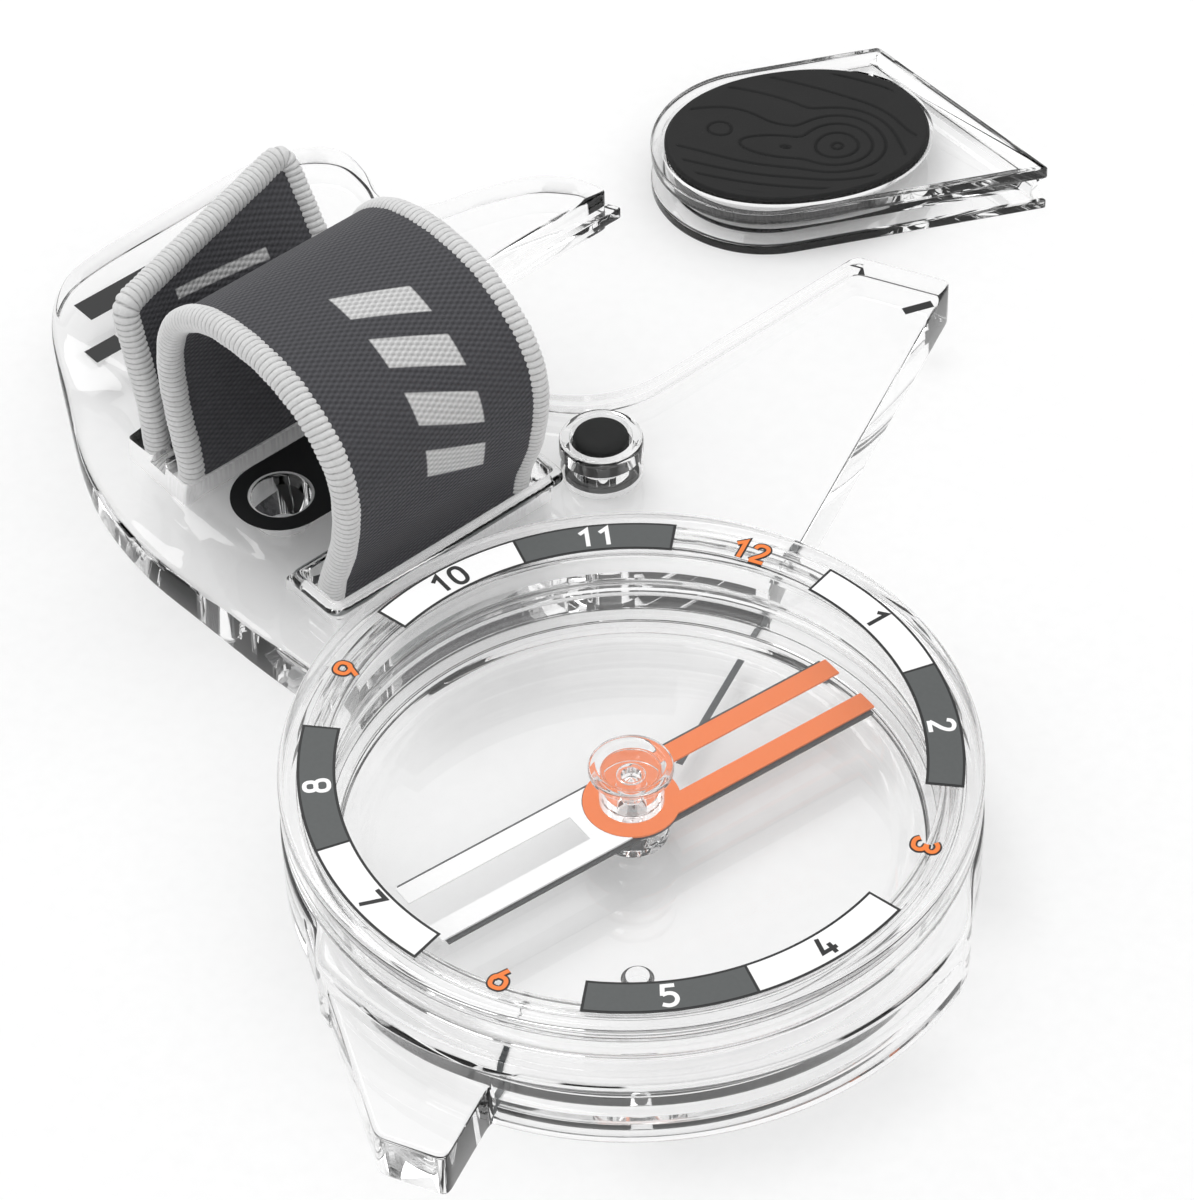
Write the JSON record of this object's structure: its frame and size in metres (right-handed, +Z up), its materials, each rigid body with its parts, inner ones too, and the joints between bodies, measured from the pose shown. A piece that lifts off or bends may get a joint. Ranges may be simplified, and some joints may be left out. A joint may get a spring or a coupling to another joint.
{
  "type": "thumb orienteering compass",
  "caption": "Clear thumb compass: turning round capsule with twin-bar needle and hour dial, elastic thumb strap, forked plate and loose thumb pad carrier.",
  "frame": {"origin": "on the needle's vertical axis, in the plane of the flat underside that lies on the map", "axes": "+Z up from the map; +Y along the straight map edge, from the nose towards hour 12 and the forked rear end; +X to the right of the map edge, seen from above"},
  "size_m": [0.0856, 0.1135, 0.0222],
  "materials": {
    "clear_acrylic": "polished, moulded",
    "webbing": "ribbed elastic weave",
    "whipped_edge": "thread wound round the edge",
    "silicone": "matt, moulded",
    "steel": "ground",
    "ferrite": "dull, sintered",
    "blade_ink": "dark blue-black, smooth",
    "north_orange": "printed orange",
    "south_white": "printed white",
    "sapphire": "polished",
    "dial_film": "clear film with printed blocks",
    "grey_polymer": "moulded"
  },
  "bodies": {
    "base": {"baseplate": "clear_acrylic", "strap_band": "webbing", "strap_edge_left": "whipped_edge", "strap_edge_right": "whipped_edge", "strap_anchor_bar": "grey_polymer", "grip_plug": "silicone"},
    "capsule": {"capsule_cup": "clear_acrylic", "capsule_lid": "clear_acrylic", "lid_seal_ring": "silicone", "friction_ring": "silicone", "filler_plug": "clear_acrylic", "dial_ring": "dial_film", "pivot_base": "clear_acrylic", "pivot_pin": "steel"},
    "needle": {"needle_blade": "blade_ink", "needle_north_face": "north_orange", "needle_south_face": "south_white", "needle_magnet_left": "ferrite", "needle_magnet_right": "ferrite", "bearing_cap": "clear_acrylic", "jewel_bearing": "sapphire"},
    "pad_carrier": {"pad_carrier": "clear_acrylic", "thumb_pad": "silicone"}
  },
  "joints": [
    {"name": "capsule_turn", "type": "hinge", "parent": "base", "child": "capsule", "pos_m": [0, 0, 0.005], "axis": [0, 0, 1], "continuous": true},
    {"name": "needle_swing", "type": "hinge", "parent": "capsule", "child": "needle", "pos_m": [0, 0, 0.006], "axis": [0, 0, 1], "continuous": true},
    {"name": "pad_carrier_pull_off", "type": "slide", "parent": "base", "child": "pad_carrier", "axis": [0.7955, 0.606, 0], "range_m": [0, 0.025]}
  ]
}
